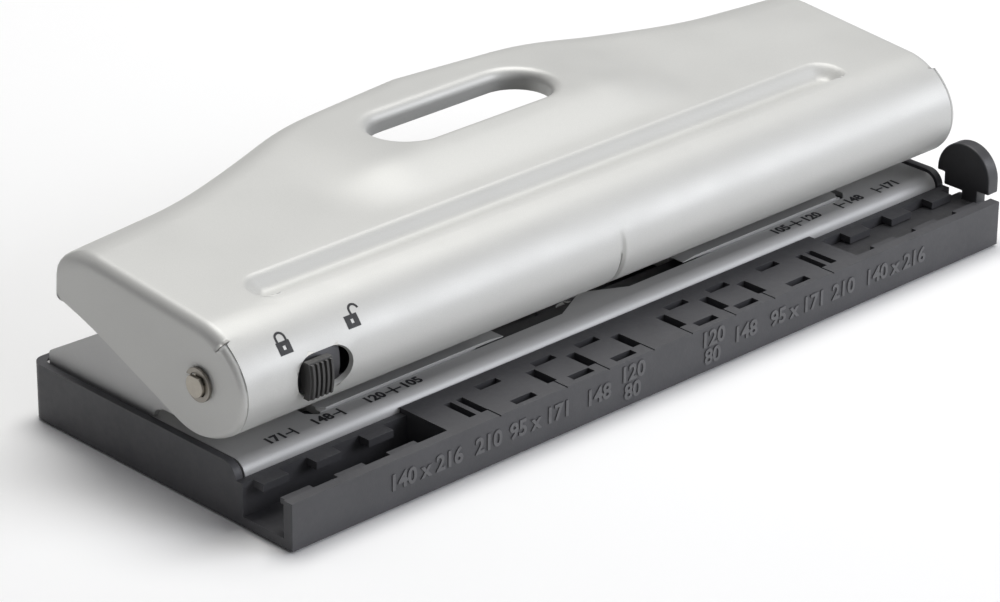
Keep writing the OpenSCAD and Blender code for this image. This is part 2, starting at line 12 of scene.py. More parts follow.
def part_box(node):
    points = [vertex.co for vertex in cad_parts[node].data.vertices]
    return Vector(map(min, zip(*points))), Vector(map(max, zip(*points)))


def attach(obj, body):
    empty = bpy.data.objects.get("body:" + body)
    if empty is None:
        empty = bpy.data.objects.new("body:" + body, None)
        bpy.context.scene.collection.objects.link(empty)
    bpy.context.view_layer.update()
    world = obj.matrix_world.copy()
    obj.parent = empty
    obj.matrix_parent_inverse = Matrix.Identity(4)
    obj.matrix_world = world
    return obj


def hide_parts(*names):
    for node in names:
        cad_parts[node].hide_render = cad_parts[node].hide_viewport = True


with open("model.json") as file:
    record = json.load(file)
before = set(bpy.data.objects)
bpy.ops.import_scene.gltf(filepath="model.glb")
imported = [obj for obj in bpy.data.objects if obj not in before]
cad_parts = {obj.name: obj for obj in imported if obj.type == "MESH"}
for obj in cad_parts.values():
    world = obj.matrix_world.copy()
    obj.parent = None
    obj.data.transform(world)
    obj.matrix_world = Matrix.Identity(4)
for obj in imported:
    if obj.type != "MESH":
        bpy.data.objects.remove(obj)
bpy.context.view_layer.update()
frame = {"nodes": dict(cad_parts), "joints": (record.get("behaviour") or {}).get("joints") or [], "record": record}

MM = 0.001
JOINTS = {j["name"]: j for j in frame["joints"]}
HINGE = Vector(JOINTS["handle_hinge"]["pos_m"])

# ---------- sizes, in metres, that the frame gives ----------

FRONT_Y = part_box("base_tray")[0].y
BASE_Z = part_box("base_tray")[0].z
CHEEK_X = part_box("handle_shell")[1].x
DECK_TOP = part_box("left_die_plate")[1].z - 0.65 * MM
WALL_TOP = BASE_Z + 10.3 * MM
KNOB_X = (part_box("lock_knob")[0].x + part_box("lock_knob")[1].x) / 2
FRONT = HINGE.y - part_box("handle_shell")[0].y

# ---------- the handle's sheet ----------

SHEET = 1.2 * MM
SLOPE = math.radians(5)
ROLL_START = math.radians(95)
ROLL_END = math.radians(247)
ROLL_SIDE = CHEEK_X - 1.45 * MM
FOLD_START = math.radians(122)
ROLL_TURN = math.radians(150)
LOW_R = 10.6 * MM
LOW_CENTRE = HINGE + Vector((0, LOW_R - FRONT + 0.1 * MM, -0.1 * MM))
HIGH_R = 15.1 * MM
TURN_OUT = Vector((0, math.cos(ROLL_TURN), math.sin(ROLL_TURN)))
HIGH_CENTRE = LOW_CENTRE + (LOW_R - HIGH_R) * TURN_OUT
DISC_TURN = math.radians(240)
DISC_R = 16.6 * MM
DISC_OUT = Vector((0, math.cos(DISC_TURN), math.sin(DISC_TURN)))
DISC_CENTRE = LOW_CENTRE + (LOW_R - DISC_R) * DISC_OUT
DISC_FOLD = 1.3 * MM
WING_SLOPE = math.radians(22.3)
WING_BEND_Y = FRONT_Y + 55 * MM
WING_BEND = 0.0056 / MM
NOSE_R = 1.9 * MM
SIDE_FOLD = 2.8 * MM
REAR_FOLD_END = 11 * MM
REAR_FOLD_MIDDLE = 8 * MM
REAR_DROP = 7.9 * MM
CORNER_R = 1.2 * MM
FAN_TURN = 80
BULGE = 8.1 * MM
BULGE_FROM = 26 * MM
BULGE_OVER = 55 * MM
REAR_TAPER = 0.1
SKIRT = 8.2 * MM
WING_DEPTH = 12.9 * MM
REAR_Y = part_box("handle_shell")[1].y - SKIRT * math.sin(SLOPE)
SLOT_Y = FRONT_Y + 64 * MM
SLOT_HALF = 24.3 * MM
SLOT_R = 8.2 * MM
SLOT_FOLD = 2.4 * MM
SLOT_FLANGE = 2.2 * MM
GROOVE_Y = FRONT_Y + 30.4 * MM
GROOVE_X = -2.5 * MM
GROOVE_HALF = 85.5 * MM
GROOVE_R = 4.75 * MM
GROOVE_DEPTH = 2.6 * MM
GROOVE_LIP = 0.9 * MM
GROOVE_WALL = 4.4 * MM
PAD_FRONT = FRONT_Y + 40 * MM
PAD_SLOPE = 12 * MM
PAD_RISE = 2.8 * MM
PAD_TOP_HALF = 33 * MM
PAD_FLANK = 15 * MM
WINDOW_X = -83.8 * MM
WINDOW_HALF = 7.3 * MM
WINDOW_R = 4.6 * MM
BORE_R = 2.5 * MM
NOTCH = 0.5 * MM
CREASE_X = -1 * MM
CREASE_DEPTH = 0.6 * MM
CREASE_WIDTH = 0.9 * MM
CREASE_TOP = math.radians(152)


def smooth(t):
    """0 below 0, 1 above 1, and a soft step between."""
    t = min(max(t, 0.0), 1.0)
    return t * t * (3 - 2 * t)


def ramp(t, soft):
    """0 below 0, 1 above 1, and a straight slope between with rounded ends."""
    if t <= -soft:
        return 0.0
    if t < soft:
        return (t + soft) ** 2 / (4 * soft)
    if t > 1 + soft:
        return 1.0
    if t > 1 - soft:
        return 1 - (1 + soft - t) ** 2 / (4 * soft)
    return t


def roll_length(angle):
    """Distance s along the sheet of the roll's line at that angle; the sloping top starts at 0."""
    high = min(angle, ROLL_TURN) - ROLL_START
    return -HIGH_R * high - LOW_R * max(angle - ROLL_TURN, 0)


def roll_angle(s):
    """The other way round: the angle of the roll's line at distance s."""
    turn_s = roll_length(ROLL_TURN)
    if s > turn_s:
        return ROLL_START - s / HIGH_R
    return ROLL_TURN - (s - turn_s) / LOW_R


def top_start():
    return HIGH_CENTRE + HIGH_R * Vector((0, math.cos(ROLL_START), math.sin(ROLL_START)))


def rear_s(x):
    """Distance s of the sheet's rear side at x."""
    bulge = BULGE * (1 - smooth((abs(x) - BULGE_FROM) / BULGE_OVER))
    centre = REAR_Y - REAR_TAPER * CHEEK_X - BULGE
    y = centre + REAR_TAPER * (CHEEK_X - abs(x)) + bulge
    return (y - top_start().y) / math.cos(SLOPE)


def stadium_distance(x, y, half, radius):
    """Distance outside a stadium that lies along x round the origin."""
    over = max(abs(x) - (half - radius), 0)
    return math.hypot(over, y) - radius


def relief(x, s):
    """How far the sloping top is raised by the hand pad and sunk by the groove."""
    y = top_start().y + s * math.cos(SLOPE)
    plateau = PAD_RISE - (y - PAD_FRONT - PAD_SLOPE) * math.tan(SLOPE)
    pad = ramp((y - PAD_FRONT) / PAD_SLOPE, 0.22) * (1 - ramp((abs(x) - PAD_TOP_HALF) / PAD_FLANK, 0.3))
    groove = stadium_distance(x - GROOVE_X, y - GROOVE_Y, GROOVE_HALF, GROOVE_R)
    return pad * max(plateau, 0) - GROOVE_DEPTH * smooth((GROOVE_LIP - groove) / GROOVE_WALL)


def crease(x, s):
    """Depth of the shallow crease down the middle of the roll."""
    angle = roll_angle(s)
    across = max(1 - ((x - CREASE_X) / CREASE_WIDTH) ** 2, 0) ** 2
    return CREASE_DEPTH * across * smooth((angle - CREASE_TOP) / math.radians(25))


def sheet_frame(s):
    """(point, direction along the sheet, outward direction) of the handle's sheet at x = 0."""
    if s < 0:
        angle = roll_angle(s)
        out = Vector((0, math.cos(angle), math.sin(angle)))
        high = angle < ROLL_TURN
        centre, radius = (HIGH_CENTRE, HIGH_R) if high else (LOW_CENTRE, LOW_R)
        return centre + radius * out, Vector((0, out.z, -out.y)), out
    along = Vector((0, math.cos(SLOPE), math.sin(SLOPE)))
    return top_start() + s * along, along, Vector((0, -along.z, along.y))


def on_sheet(x, s, lift=0.0):
    """The place of a point of the flat sheet once it is rolled and pressed."""
    point, _, out = sheet_frame(s)
    height = lift + (relief(x, s) if s > 0 else -crease(x, s))
    return Vector((x, 0, 0)) + point + height * out


def stadium_path(cx, cy, half, radius, arc_steps, straight_steps):
    """Points round a stadium, anticlockwise, with their outward directions."""
    path = []
    for side, start in ((1, -math.pi / 2), (-1, math.pi / 2)):
        centre = Vector((cx + side * (half - radius), cy))
        for i in range(arc_steps + 1):
            a = start + math.pi * i / arc_steps
            out = Vector((math.cos(a), math.sin(a)))
            path.append((centre + radius * out, out))
        for i in range(1, straight_steps):
            x = side * (half - radius) * (1 - 2 * i / straight_steps)
            out = Vector((0, side))
            path.append((Vector((cx + x, cy)) + radius * out, out))
    return path


def rim_path():
    """The sheet's outer edge from the left end, round the rear to the right end.

    Each entry is (point in the flat sheet, inset of the fold, drop of the fold, depth of the wall).
    """
    start_s = roll_length(FOLD_START)
    side = Vector((-SIDE_FOLD, 0))
    rear = rear_s(CHEEK_X - CORNER_R)
    fan_s = rear - REAR_FOLD_END - SIDE_FOLD / 4
    half = []
    for i in range(8):
        half.append((Vector((-CHEEK_X, start_s * (1 - i / 8))), side, SIDE_FOLD, 0))
    for i in range(25):
        half.append((Vector((-CHEEK_X, fan_s * i / 25)), side, SIDE_FOLD, 0))

    # the corner of the top is a fan of folds that get wider towards the rear
    fan_r = SIDE_FOLD / 4
    centre = Vector((SIDE_FOLD + fan_r - CHEEK_X, fan_s))
    steps = 18
    for i in range(steps):
        t = i / steps
        point = Vector((-CHEEK_X, fan_s + (rear - CORNER_R - fan_s) * t))
        a = math.pi - t * math.radians(FAN_TURN)
        inner = centre + fan_r * Vector((math.cos(a), math.sin(a)))
        drop = SIDE_FOLD + (REAR_DROP - SIDE_FOLD) * t ** 1.5
        half.append((point, point - inner, drop, 0))
    steps = 8
    for i in range(steps + 1):
        a = math.pi - math.pi / 2 * i / steps
        centre_b = Vector((CORNER_R - CHEEK_X, rear - CORNER_R))
        point = centre_b + CORNER_R * Vector((math.cos(a), math.sin(a)))
        a = math.radians(180 - FAN_TURN - (90 - FAN_TURN) * i / steps)
        inner = centre + fan_r * Vector((math.cos(a), math.sin(a)))
        depth = SKIRT + 0.1 * MM + (WING_DEPTH - SKIRT) * (1 - smooth(i / steps)) ** 0.7
        half.append((point, point - inner, REAR_DROP, depth))
    steps = 46
    inner_end = centre.x
    for i in range(1, steps + 1):
        inner_x = inner_end * (1 - i / steps)
        x = (CORNER_R - CHEEK_X) * (1 - i / steps)
        fold = REAR_FOLD_MIDDLE + (REAR_FOLD_END - REAR_FOLD_MIDDLE) * smooth(abs(x) / CHEEK_X)
        point = Vector((x, rear_s(x)))
        inner = Vector((inner_x, rear_s(inner_x) - fold))
        half.append((point, point - inner, REAR_DROP, SKIRT + 0.1 * MM))
    other = [(Vector((-p.x, p.y)), Vector((-o.x, o.y)), f, d) for p, o, f, d in half[:-1]]
    return half + other[::-1]


def fold_ring(path, phi):
    """Places of a path's points at angle phi round their fold; the outside stays on the path."""
    ring = []
    for point, inset, drop, _ in path:
        inner = point - inset
        _, along, up = sheet_frame(inner.y)
        outward = inset.x * Vector((1, 0, 0)) + inset.y * along
        base = on_sheet(inner.x, inner.y)
        ring.append(base + math.sin(phi) * outward - drop * (1 - math.cos(phi)) * up)
    return ring


def add_strip(mesh, rings, closed=False):
    """Quads between successive rings of places."""
    rows = [[mesh.verts.new(p) for p in ring] for ring in rings]
    count = len(rows[0])
    for lower, upper in zip(rows, rows[1:]):
        for i in range(count if closed else count - 1):
            j = (i + 1) % count
            mesh.faces.new((lower[i], lower[j], upper[j], upper[i]))


def add_flat(mesh, loops, inner_points, place):
    """Fills an outline with holes, given as flat loops, and puts each point in its place."""
    points, edges = [], []
    for loop in loops:
        first = len(points)
        points += loop
        edges += [(first + i, first + (i + 1) % len(loop)) for i in range(len(loop))]
    points += inner_points
    verts, _, faces, _, _, _ = delaunay_2d_cdt(points, edges, [], 2, 1e-7)
    outer, holes = loops[0], loops[1:]
    made = [mesh.verts.new(place(v)) for v in verts]
    for face in faces:
        centre = sum((verts[i] for i in face), Vector((0, 0))) / len(face)
        if inside(centre, outer) and not any(inside(centre, h) for h in holes):
            mesh.faces.new([made[i] for i in face])
    for v in [v for v in made if not v.link_faces]:
        mesh.verts.remove(v)


def inside(point, loop):
    """Whether a flat point lies within a closed loop."""
    odd = False
    for a, b in zip(loop, loop[1:] + loop[:1]):
        if (a.y > point.y) != (b.y > point.y):
            if point.x < a.x + (point.y - a.y) * (b.x - a.x) / (b.y - a.y):
                odd = not odd
    return odd


def link(name, mesh_data):
    obj = bpy.data.objects.new(name, mesh_data)
    bpy.context.scene.collection.objects.link(obj)
    return obj


def finish_mesh(name, mesh, up_face=None):
    """Joins a bmesh's doubled points, turns its faces outward and makes an object of it."""
    bmesh.ops.remove_doubles(mesh, verts=mesh.verts, dist=2e-6)
    bmesh.ops.recalc_face_normals(mesh, faces=mesh.faces)
    mesh.normal_update()
    if up_face is not None:
        near = min(mesh.faces, key=lambda f: (f.calc_center_median() - up_face).length)
        if near.normal.z < 0:
            bmesh.ops.reverse_faces(mesh, faces=mesh.faces)
    data = bpy.data.meshes.new(name)
    mesh.to_mesh(data)
    mesh.free()
    for polygon in data.polygons:
        polygon.use_smooth = True
    return link(name, data)


def wing_line(y):
    """Height of the wing's lower edge."""
    edge = math.radians(270) + WING_SLOPE
    foot = DISC_CENTRE + DISC_R * Vector((0, math.cos(edge), math.sin(edge)))
    bend = max(y - WING_BEND_Y, 0)
    return foot.z + (y - foot.y) * math.tan(WING_SLOPE) - WING_BEND * bend * bend


def disc_path():
    """Points round the end wall's disc, with their outward directions and insets of the fold."""
    path = []
    start = FOLD_START + math.radians(1.5)
    stop = math.radians(270) + WING_SLOPE
    steps = 52
    for i in range(steps + 1):
        a = start + (stop - start) * i / steps
        out = Vector((0, math.cos(a), math.sin(a)))
        if a < ROLL_TURN:
            point = HIGH_CENTRE + HIGH_R * out
        elif a < DISC_TURN:
            point = LOW_CENTRE + LOW_R * out
        else:
            point = DISC_CENTRE + DISC_R * out
        fade = 1 - smooth((a - math.radians(235)) / math.radians(45))
        path.append((point, out, DISC_FOLD * fade + 0.04 * MM))
    return path


def cheek_loop(fold_line, wall_column):
    """The flat end wall's outline in y and z: disc, wing and the fold line above them."""
    loop = [Vector(((p - inset * out).y, (p - inset * out).z)) for p, out, inset in disc_path()]
    corner = wall_column[-1]
    end_y = corner.y - NOSE_R
    start_y = loop[-1].x
    steps = 16
    for i in range(1, steps + 1):
        y = start_y + (end_y - start_y) * i / steps
        loop.append(Vector((y, wing_line(y))))
    rise = corner.z - wing_line(end_y)
    for i in range(1, 6):
        a = math.pi / 2 * i / 6
        y = end_y + NOSE_R * math.sin(a)
        loop.append(Vector((y, wing_line(end_y) + rise * (1 - math.cos(a)))))
    loop += [Vector((p.y, p.z)) for p in reversed(wall_column)]
    loop += [Vector((p.y, p.z)) for p in reversed(fold_line)]
    return loop


def disc_rings(side):
    """The rounded rim between the end wall's disc and the roll."""
    rings = []
    steps = 5
    for k in range(steps + 1):
        phi = math.pi / 2 * k / steps
        ring = []
        for point, out, inset in disc_path():
            x = side * (CHEEK_X - inset * (1 - math.cos(phi)))
            ring.append(Vector((x, 0, 0)) + point - inset * (1 - math.sin(phi)) * out)
        rings.append(ring)
    return rings


def grid_points(spacing_x, spacing_s, low, high, keep):
    """Points of a regular grid between two heights s that pass the test keep."""
    points = []
    columns = int(2 * CHEEK_X / spacing_x)
    rows = int((high - low) / spacing_s)
    for i in range(columns + 1):
        for j in range(rows + 1):
            x = -CHEEK_X + (i + 0.5) * 2 * CHEEK_X / (columns + 1)
            s = low + (j + 0.5) * (high - low) / (rows + 1)
            if keep(x, s):
                points.append(Vector((x, s)))
    return points


def wall_points(loop, spacing):
    """Grid points inside an end wall's outline, clear of its edge and of the pivot's bore."""
    low = Vector((min(p.x for p in loop), min(p.y for p in loop)))
    high = Vector((max(p.x for p in loop), max(p.y for p in loop)))
    pivot = Vector((HINGE.y, HINGE.z))
    points = []
    for i in range(1, int((high.x - low.x) / spacing)):
        for j in range(1, int((high.y - low.y) / spacing)):
            spot = low + spacing * Vector((i, j))
            clear = min((spot - q).length for q in loop) > 0.4 * spacing
            if clear and inside(spot, loop) and (spot - pivot).length > BORE_R + 0.4 * spacing:
                points.append(spot)
    return points


def sheet_outline(inner_rim, bottom_s, fold_s):
    """Outline of the flat sheet: the roll's lower edge with its small notch, then the ends."""
    bottom = [Vector((-ROLL_SIDE + 2 * ROLL_SIDE * i / 50, bottom_s)) for i in range(51)]
    bottom[25:26] = [
        Vector((-NOTCH, bottom_s)),
        Vector((0, bottom_s + NOTCH)),
        Vector((NOTCH, bottom_s)),
    ]
    rows = 24
    right = [Vector((ROLL_SIDE, bottom_s + (fold_s - bottom_s) * i / rows)) for i in range(1, rows)]
    right.append(Vector((ROLL_SIDE, fold_s - 0.4 * MM)))
    left = [Vector((-p.x, p.y)) for p in reversed(right)]
    return bottom + right + inner_rim[::-1] + left


def sheet_points(outline, bottom_s, slot_s, groove_s, window_s):
    """Points inside the flat sheet, closer together round the groove and the crease."""

    def clear(x, s):
        point = Vector((x, s))
        if stadium_distance(x - GROOVE_X, s - groove_s, GROOVE_HALF, GROOVE_R) < 1.7 * MM:
            return False
        if abs(x - CREASE_X) < 2.2 * MM and s < roll_length(CREASE_TOP):
            return False
        if stadium_distance(x, s - slot_s, SLOT_HALF, SLOT_R) < SLOT_FOLD + 0.8 * MM:
            return False
        if stadium_distance(x - WINDOW_X, s - window_s, WINDOW_HALF, WINDOW_R) < 0.5 * MM:
            return False
        return inside(point, outline) and min((point - q).length for q in outline) > 0.7 * MM

    points = grid_points(4 * MM, 1.1 * MM, bottom_s, 0, clear)
    points += grid_points(2 * MM, 1.8 * MM, 0, rear_s(0), clear)
    crease_low, crease_high = bottom_s + 1.2 * MM, roll_length(CREASE_TOP) - 0.5 * MM
    for i in range(11):
        x = CREASE_X + (i - 5) * 0.35 * MM
        rise = (crease_high - crease_low) / 14
        points += [Vector((x, crease_low + j * rise)) for j in range(15)]
    points += [Vector((GROOVE_X + (i / 24 - 1) * (GROOVE_HALF - GROOVE_R), groove_s)) for i in range(49)]
    for d in (1.0, 0.6, 0.2, -0.2, -0.6, -1.1, -1.6, -2.1, -2.7, -3.3, -3.9):
        radius = GROOVE_R + d * MM
        around = stadium_path(GROOVE_X, groove_s, GROOVE_HALF + d * MM, radius, 16, 50)
        points += [p for p, _ in around]
    return points


def add_walls(mesh, rim, folds, down):
    """The walls below the folded rim, and the two end walls with their bores."""
    walled = [i for i, entry in enumerate(rim) if entry[3] > 0]
    first, last = walled[0], walled[-1]
    walls = []
    steps = 6
    for k in range(steps + 1):
        ring = []
        for i in range(first, last + 1):
            wall = rim[i][3] - rim[i][2]
            ring.append(folds[-1][i] + down * wall * k / steps)
        walls.append(ring)
    add_strip(mesh, walls)
    bore = [
        Vector((HINGE.y + BORE_R * math.cos(a), HINGE.z + BORE_R * math.sin(a)))
        for a in [2 * math.pi * i / 32 for i in range(32)]
    ]
    for side, fold_line, column in (
        (-1, folds[-1][:first], [ring[0] for ring in walls]),
        (1, folds[-1][last + 1:][::-1], [ring[-1] for ring in walls]),
    ):
        x = side * CHEEK_X
        loop = cheek_loop(fold_line, column)
        spots = wall_points(loop, 2.5 * MM)
        add_flat(mesh, [loop, bore], spots, lambda v, x=x: Vector((x, v.x, v.y)))
        add_strip(mesh, disc_rings(side))


def thicken(handle):
    """Gives the sheet its thickness and soft edges, and shades its large faces flat."""
    thick = handle.modifiers.new("sheet", "SOLIDIFY")
    thick.thickness = SHEET
    thick.offset = -1
    thick.use_even_offset = False
    edges = handle.modifiers.new("edges", "BEVEL")
    edges.width = 0.18 * MM
    edges.segments = 2
    edges.limit_method = "ANGLE"
    edges.angle_limit = math.radians(50)
    edges.harden_normals = False
    even = handle.modifiers.new("even", "WEIGHTED_NORMAL")
    even.weight = 60


def handle_sheet():
    """The handle: one sheet that is pressed, rolled at the front and folded round its rim."""
    mesh = bmesh.new()
    rim = rim_path()
    bottom_s = roll_length(ROLL_END)
    slot_s = (SLOT_Y - top_start().y) / math.cos(SLOPE)
    groove_s = (GROOVE_Y - top_start().y) / math.cos(SLOPE)
    window_s = roll_length(math.pi)

    inner_rim = [point - inset for point, inset, _, _ in rim]
    outline = sheet_outline(inner_rim, bottom_s, roll_length(FOLD_START))
    slot = stadium_path(0, slot_s, SLOT_HALF + SLOT_FOLD, SLOT_R + SLOT_FOLD, 24, 20)
    window = stadium_path(WINDOW_X, window_s, WINDOW_HALF, WINDOW_R, 16, 4)
    holes = [[p for p, _ in slot], [p for p, _ in window]]
    points = sheet_points(outline, bottom_s, slot_s, groove_s, window_s)
    add_flat(mesh, [outline] + holes, points, lambda v: on_sheet(v.x, v.y))

    folds = [fold_ring(rim, math.pi / 2 * i / 8) for i in range(9)]
    add_strip(mesh, folds)
    down = -sheet_frame(0.01)[2]
    add_walls(mesh, rim, folds, down)

    # the flange pressed down round the hand slot
    edge = [(p - SLOT_FOLD * out, -SLOT_FOLD * out, SLOT_FOLD, 0) for p, out in slot]
    curl = [fold_ring(edge, math.pi / 2 * i / 7) for i in range(8)]
    curl.append([p + down * SLOT_FLANGE for p in curl[-1]])
    add_strip(mesh, curl, closed=True)

    handle = finish_mesh("handle_sheet", mesh, on_sheet(0, 10 * MM))
    thicken(handle)
    set_material(handle, MATERIALS["handle_paint"])
    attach(handle, "handle")
    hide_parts("handle_shell")


# ---------- materials ----------


def set_material(obj, mat):
    obj.data.materials.clear()
    obj.data.materials.append(mat)


def new_material(name, color, metallic, roughness, specular=0.5, coat=0.0):
    """A material and its tools: (material, nodes, links, shader)."""
    mat = bpy.data.materials.new(name)
    mat.use_nodes = True
    nodes, links = mat.node_tree.nodes, mat.node_tree.links
    shader = nodes["Principled BSDF"]
    shader.inputs["Base Color"].default_value = (*color, 1)
    shader.inputs["Metallic"].default_value = metallic
    shader.inputs["Roughness"].default_value = roughness
    shader.inputs["Specular IOR Level"].default_value = specular
    shader.inputs["Coat Weight"].default_value = coat
    shader.inputs["Coat Roughness"].default_value = 0.3
    return mat, nodes, links, shader


def noise(nodes, links, scale, detail=4.0, stretch=(1, 1, 1)):
    """A noise texture in the object's own metres, stretched along its axes."""
    coord = nodes.new("ShaderNodeTexCoord")
    mapping = nodes.new("ShaderNodeMapping")
    mapping.inputs["Scale"].default_value = stretch
    texture = nodes.new("ShaderNodeTexNoise")
    texture.inputs["Scale"].default_value = scale
    texture.inputs["Detail"].default_value = detail
    links.new(coord.outputs["Object"], mapping.inputs["Vector"])
    links.new(mapping.outputs["Vector"], texture.inputs["Vector"])
    return texture.outputs["Fac"]


def spread(nodes, links, value, low, high):
    """Maps a texture's middle range to low..high."""
    node = nodes.new("ShaderNodeMapRange")
    node.inputs["From Min"].default_value = 0.3
    node.inputs["From Max"].default_value = 0.7
    node.inputs["To Min"].default_value = low
    node.inputs["To Max"].default_value = high
    links.new(value, node.inputs["Value"])
    return node.outputs["Result"]


def tint(nodes, links, shader, factor, color, other):
    """Varies the base colour between two tones."""
    mix = nodes.new("ShaderNodeMix")
    mix.data_type = "RGBA"
    mix.inputs["A"].default_value = (*color, 1)
    mix.inputs["B"].default_value = (*other, 1)
    links.new(factor, mix.inputs["Factor"])
    links.new(mix.outputs["Result"], shader.inputs["Base Color"])
    return mix


def bump(nodes, links, shader, height, strength, distance):
    node = nodes.new("ShaderNodeBump")
    node.inputs["Strength"].default_value = strength
    node.inputs["Distance"].default_value = distance
    links.new(height, node.inputs["Height"])
    links.new(node.outputs["Normal"], shader.inputs["Normal"])


def metallic_paint(name, color, roughness):
    """Satin silver paint: fine flake, a slight orange peel and faint handling marks."""
    mat, nodes, links, shader = new_material(name, color, 0.25, roughness)
    darker = tuple(c * 0.93 for c in color)
    lighter = tuple(min(c * 1.04, 1) for c in color)
    flake = noise(nodes, links, 9000, 2)
    tint(nodes, links, shader, spread(nodes, links, flake, 0, 1), darker, lighter)
    smudge = noise(nodes, links, 55, 3)
    rough = spread(nodes, links, smudge, roughness - 0.03, roughness + 0.04)
    links.new(rough, shader.inputs["Roughness"])
    bump(nodes, links, shader, noise(nodes, links, 2600, 2), 0.05, 0.00003)
    return mat


def moulded(name, color, roughness, grain=0.00006, scale=2400):
    """Moulded plastic with a fine spark-eroded grain and slightly uneven gloss."""
    mat, nodes, links, shader = new_material(name, color, 0.0, roughness, specular=0.45)
    cloud = noise(nodes, links, 130, 3)
    pale = tuple(min(c * 1.12 + 0.002, 1) for c in color)
    tint(nodes, links, shader, spread(nodes, links, cloud, 0, 1), color, pale)
    rough = spread(nodes, links, noise(nodes, links, 700, 3), roughness - 0.05, roughness + 0.05)
    links.new(rough, shader.inputs["Roughness"])
    bump(nodes, links, shader, noise(nodes, links, scale, 3), 0.35, grain)
    return mat


def brushed(name, color, roughness, stretch):
    """Bare metal with fine lines along one direction."""
    mat, nodes, links, shader = new_material(name, color, 1.0, roughness)
    lines = noise(nodes, links, 900, 4, stretch)
    darker = tuple(c * 0.85 for c in color)
    tint(nodes, links, shader, spread(nodes, links, lines, 0, 1), darker, color)
    rough = spread(nodes, links, lines, roughness - 0.06, roughness + 0.08)
    links.new(rough, shader.inputs["Roughness"])
    bump(nodes, links, shader, lines, 0.12, 0.00003)
    return mat


def plated(name, color, roughness):
    """Bright plated or ground metal with a few soft marks."""
    mat, nodes, links, shader = new_material(name, color, 1.0, roughness)
    marks = noise(nodes, links, 420, 5)
    rough = spread(nodes, links, marks, roughness - 0.04, roughness + 0.08)
    links.new(rough, shader.inputs["Roughness"])
    tint(nodes, links, shader, spread(nodes, links, marks, 0, 1), color, tuple(c * 0.9 for c in color))
    return mat


def printed(name, color):
    """Printing ink: matt, and a little thin in places."""
    mat, nodes, links, shader = new_material(name, color, 0.0, 0.55)
    thin = tuple(c + 0.02 for c in color)
    tint(nodes, links, shader, spread(nodes, links, noise(nodes, links, 1500, 3), 0, 1), color, thin)
    return mat


def make_materials():
    return {
        "handle_paint": metallic_paint("silver paint", (0.6, 0.6, 0.58), 0.48),
        "deck_paint": metallic_paint("deck paint", (0.5, 0.5, 0.495), 0.46),
        "die_steel": metallic_paint("head paint", (0.48, 0.48, 0.475), 0.46),
        "base_plastic": moulded("base plastic", (0.058, 0.058, 0.063), 0.5),
        # the raised plastic is lighter than the base plastic as a painted highlight, standing in for the light
        # caught by the raised numerals' edges
        "raised_plastic": moulded("raised plastic", (0.1, 0.1, 0.105), 0.4, 0.00003),
        "guide_plastic": moulded("guide plastic", (0.052, 0.052, 0.055), 0.45, 0.00003),
        "knob_plastic": moulded("knob plastic", (0.05, 0.049, 0.048), 0.45, 0.00003),
        "foot_rubber": moulded("foot rubber", (0.018, 0.018, 0.018), 0.8),
        # rail steel's colour is darkened far below bare steel as painted shade, so the parts inside the base read
        # as the unlit dark inside
        "rail_steel": brushed("rail steel", (0.1, 0.1, 0.105), 0.45, (0.05, 1, 1)),
        "spring_steel": plated("spring wire", (0.55, 0.55, 0.56), 0.28),
        "screw_steel": plated("screw plating", (0.68, 0.68, 0.68), 0.22),
        "shaft_steel": brushed("shaft steel", (0.42, 0.39, 0.34), 0.35, (1, 1, 1)),
        "clip_steel": brushed("clip steel", (0.3, 0.28, 0.25), 0.35, (1, 1, 1)),
        "bush_brass": brushed("bush brass", (0.7, 0.56, 0.3), 0.3, (1, 1, 0.1)),
        "pin_steel": plated("pin steel", (0.72, 0.72, 0.73), 0.16),
        "ink": printed("ink", (0.012, 0.012, 0.014)),
    }


MATERIALS = make_materials()

# ---------- CAD nodes that stay: rounded edges and materials ----------

EDGE = {
    "base_tray": 0.3 * MM,
    "deck_plate": 0.18 * MM,
    "paper_guide": 0.35 * MM,
    "lock_knob": 0.18 * MM,
    "rubber_feet": 0.1 * MM,
}
PLAIN_EDGE = 0.1 * MM


def soften(obj, width):
    """Welds the node's triangles into faces, rounds its sharp edges and shades it smooth."""
    for polygon in obj.data.polygons:
        polygon.use_smooth = True
    weld = obj.modifiers.new("weld", "WELD")
    weld.merge_threshold = 1e-6
    merge = obj.modifiers.new("merge", "DECIMATE")
    merge.decimate_type = "DISSOLVE"
    merge.angle_limit = math.radians(0.6)
    edges = obj.modifiers.new("edges", "BEVEL")
    edges.width = width
    edges.segments = 2
    edges.limit_method = "ANGLE"
    edges.angle_limit = math.radians(32)
    edges.use_clamp_overlap = True
    even = obj.modifiers.new("even", "WEIGHTED_NORMAL")
    even.mode = "FACE_AREA_WITH_ANGLE"
    even.weight = 80


def dress_nodes():
    slots = {s["node"]: s["material_slot"] for s in frame["record"]["subparts"]}
    for name, obj in frame["nodes"].items():
        set_material(obj, MATERIALS[slots[name]])
        if not name.startswith("pin_spring"):
            soften(obj, EDGE.get(name, PLAIN_EDGE))
        else:
            for polygon in obj.data.polygons:
                polygon.use_smooth = True


# ---------- printed and raised marks ----------


def text_mesh(name, words, size, depth, bold=0.0):
    """A line of numerals as a flat mesh, centred on the origin, in the x-y plane."""
    curve = bpy.data.curves.new(name, "FONT")
    curve.body = words
    curve.size = size
    curve.extrude = depth
    curve.offset = bold
    curve.space_line = 0.85
    curve.align_x = "CENTER"
    curve.align_y = "CENTER"
    curve.resolution_u = 4
    holder = bpy.data.objects.new(name + "_curve", curve)
    data = bpy.data.meshes.new_from_object(holder)
    bpy.data.objects.remove(holder)
    data.name = name
    return link(name, data)


def mark_width(obj):
    return max(v.co.x for v in obj.data.vertices) - min(v.co.x for v in obj.data.vertices)


